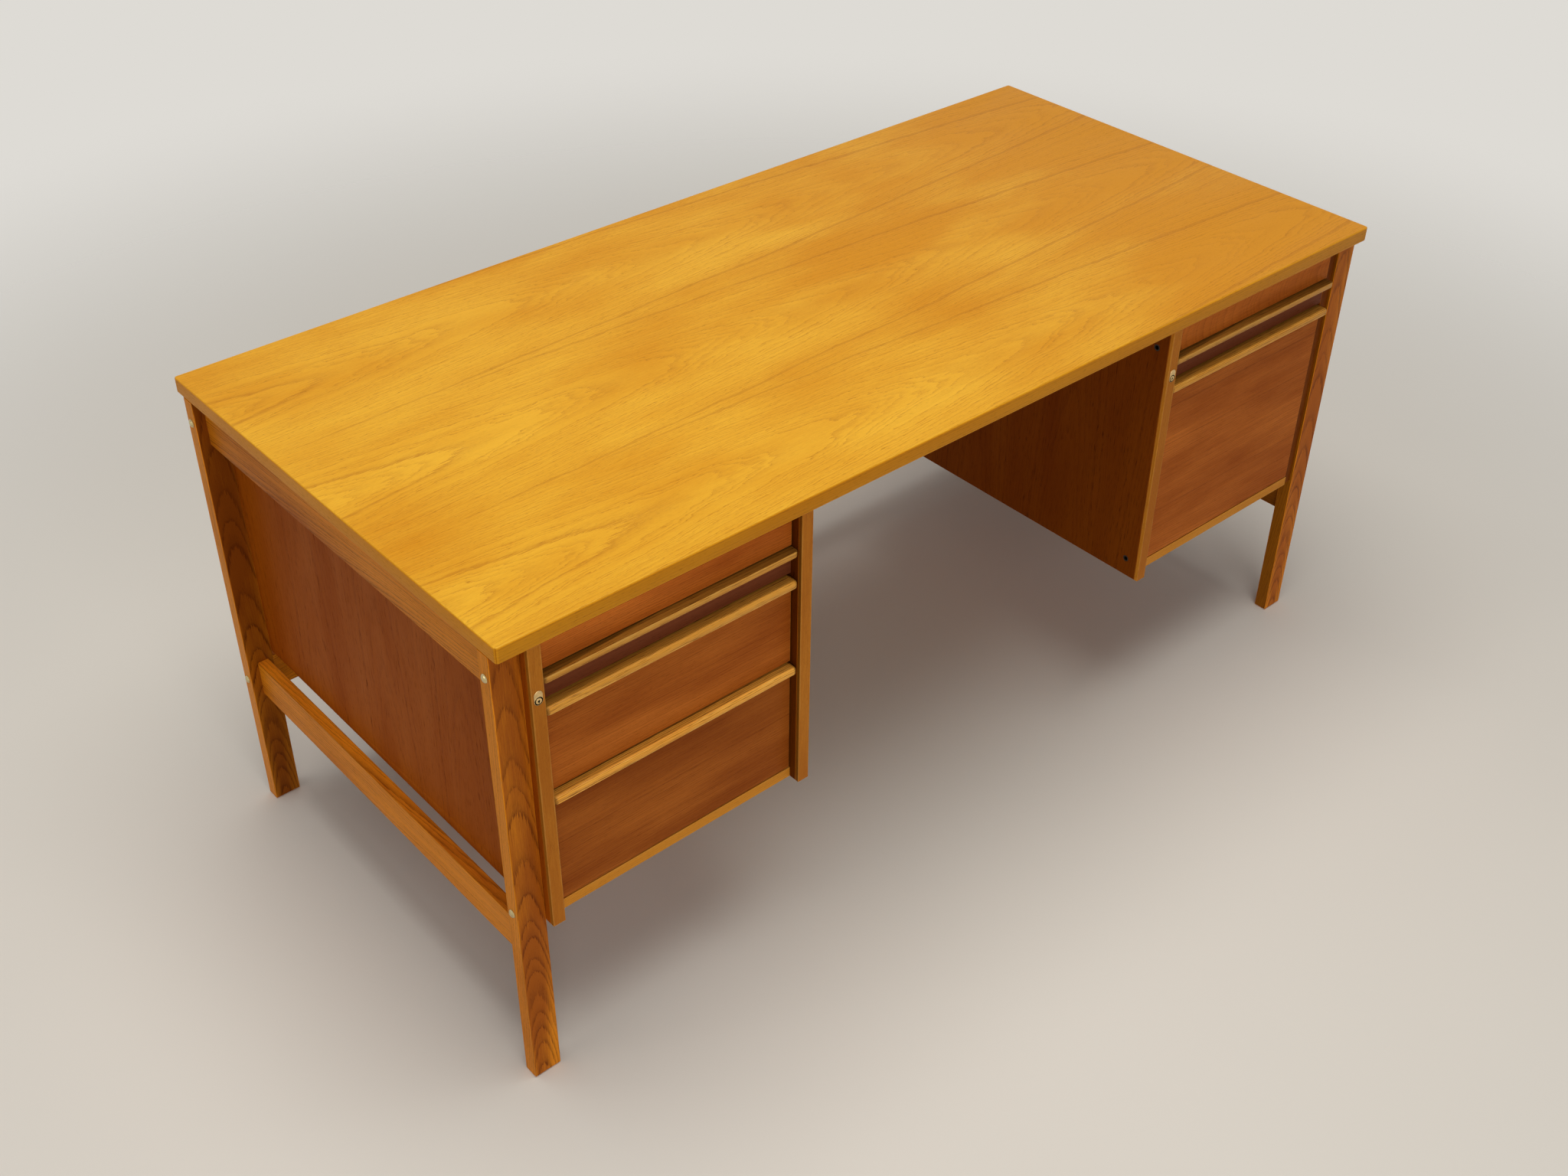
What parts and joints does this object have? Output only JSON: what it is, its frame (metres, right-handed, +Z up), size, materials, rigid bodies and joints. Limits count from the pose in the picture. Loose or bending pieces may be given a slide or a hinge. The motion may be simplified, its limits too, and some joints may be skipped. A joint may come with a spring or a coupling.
{
  "type": "pedestal desk",
  "caption": "Wooden writing desk on straight legs, with a kneehole between drawer pedestals that hang under the top and have full-width grips and key locks.",
  "frame": {"origin": "on the floor, under the middle of the top", "axes": "+X along the length to the sitter's right, +Y away from the sitter, +Z up"},
  "size_m": [1.605, 0.756, 0.73],
  "materials": {
    "top_veneer": "satin lacquer",
    "top_lipping": "satin lacquer",
    "frame_wood": "satin lacquer",
    "pedestal_veneer": "satin lacquer",
    "pedestal_lipping": "satin lacquer",
    "drawer_veneer": "satin lacquer",
    "grip_wood": "satin lacquer",
    "dark_wood": "matt",
    "box_wood": "matt",
    "plywood": "matt",
    "bolt_steel": "polished plate",
    "lock_nickel": "nickel plate",
    "hardware_steel": "zinc plate"
  },
  "bodies": {
    "frame": {"desktop_end_lippings": "top_lipping", "desktop_long_lippings": "top_lipping", "desktop_panel": "top_veneer", "front_leg_bolts": "bolt_steel", "left_drawer_runners": "box_wood", "left_front_leg": "frame_wood", "left_gap_rail": "dark_wood", "left_lock_case": "lock_nickel", "left_pedestal_back": "plywood", "left_pedestal_bottom": "pedestal_veneer", "left_pedestal_braces": "box_wood", "left_pedestal_lippings": "pedestal_lipping", "left_pedestal_lock_side": "pedestal_veneer", "left_pedestal_plain_side": "pedestal_veneer", "left_rear_leg": "frame_wood", "left_stretcher": "frame_wood", "left_top_rail": "frame_wood", "pedestal_inserts": "hardware_steel", "rail_barrel_nuts": "hardware_steel", "rear_leg_bolts": "bolt_steel", "rear_stretcher": "frame_wood", "rear_top_rail": "frame_wood", "right_drawer_runners": "box_wood", "right_front_leg": "frame_wood", "right_gap_rail": "dark_wood", "right_lock_case": "lock_nickel", "right_pedestal_back": "plywood", "right_pedestal_bottom": "pedestal_veneer", "right_pedestal_braces": "box_wood", "right_pedestal_lippings": "pedestal_lipping", "right_pedestal_lock_side": "pedestal_veneer", "right_pedestal_plain_side": "pedestal_veneer", "right_rear_leg": "frame_wood", "right_stretcher": "frame_wood", "right_top_rail": "frame_wood", "top_screws": "hardware_steel"},
    "left_top_drawer": {"left_top_drawer_front": "drawer_veneer", "left_top_drawer_handle": "grip_wood", "left_top_drawer_box": "box_wood", "left_top_drawer_bottom": "plywood"},
    "left_middle_drawer": {"left_middle_drawer_front": "drawer_veneer", "left_middle_drawer_handle": "grip_wood", "left_middle_drawer_box": "box_wood", "left_middle_drawer_bottom": "plywood"},
    "left_low_drawer": {"left_low_drawer_front": "drawer_veneer", "left_low_drawer_handle": "grip_wood", "left_low_drawer_box": "box_wood", "left_low_drawer_bottom": "plywood"},
    "right_top_drawer": {"right_top_drawer_front": "drawer_veneer", "right_top_drawer_handle": "grip_wood", "right_top_drawer_box": "box_wood", "right_top_drawer_bottom": "plywood"},
    "right_file_drawer": {"right_file_drawer_front": "drawer_veneer", "right_file_drawer_handle": "grip_wood", "right_file_drawer_box": "box_wood", "right_file_drawer_bottom": "plywood"},
    "left_lock_plug": {"left_lock_plug": "lock_nickel"},
    "left_lock_bar": {"left_lock_bar": "hardware_steel"},
    "right_lock_plug": {"right_lock_plug": "lock_nickel"},
    "right_lock_bar": {"right_lock_bar": "hardware_steel"}
  },
  "joints": [
    {"name": "left_top_drawer_slide", "type": "slide", "parent": "frame", "child": "left_top_drawer", "axis": [0, -1, 0], "range_m": [0, 0.4]},
    {"name": "left_middle_drawer_slide", "type": "slide", "parent": "frame", "child": "left_middle_drawer", "axis": [0, -1, 0], "range_m": [0, 0.4]},
    {"name": "left_low_drawer_slide", "type": "slide", "parent": "frame", "child": "left_low_drawer", "axis": [0, -1, 0], "range_m": [0, 0.4]},
    {"name": "right_top_drawer_slide", "type": "slide", "parent": "frame", "child": "right_top_drawer", "axis": [0, -1, 0], "range_m": [0, 0.4]},
    {"name": "right_file_drawer_slide", "type": "slide", "parent": "frame", "child": "right_file_drawer", "axis": [0, -1, 0], "range_m": [0, 0.4]},
    {"name": "left_lock_turn", "type": "hinge", "parent": "frame", "child": "left_lock_plug", "pos_m": [-0.75, -0.36, 0.631], "axis": [0, -1, 0], "range_deg": [0, 90]},
    {"name": "left_lock_bar_lift", "type": "slide", "parent": "frame", "child": "left_lock_bar", "axis": [0, 0, 1], "range_m": [0, 0.01]},
    {"name": "right_lock_turn", "type": "hinge", "parent": "frame", "child": "right_lock_plug", "pos_m": [0.35, -0.36, 0.631], "axis": [0, -1, 0], "range_deg": [0, 90]},
    {"name": "right_lock_bar_lift", "type": "slide", "parent": "frame", "child": "right_lock_bar", "axis": [0, 0, 1], "range_m": [0, 0.01]}
  ],
  "couplings": [
    {"joint": "left_lock_turn", "follows": "left_lock_bar_lift", "rad_per_m": 157},
    {"joint": "right_lock_turn", "follows": "right_lock_bar_lift", "rad_per_m": 157}
  ]
}
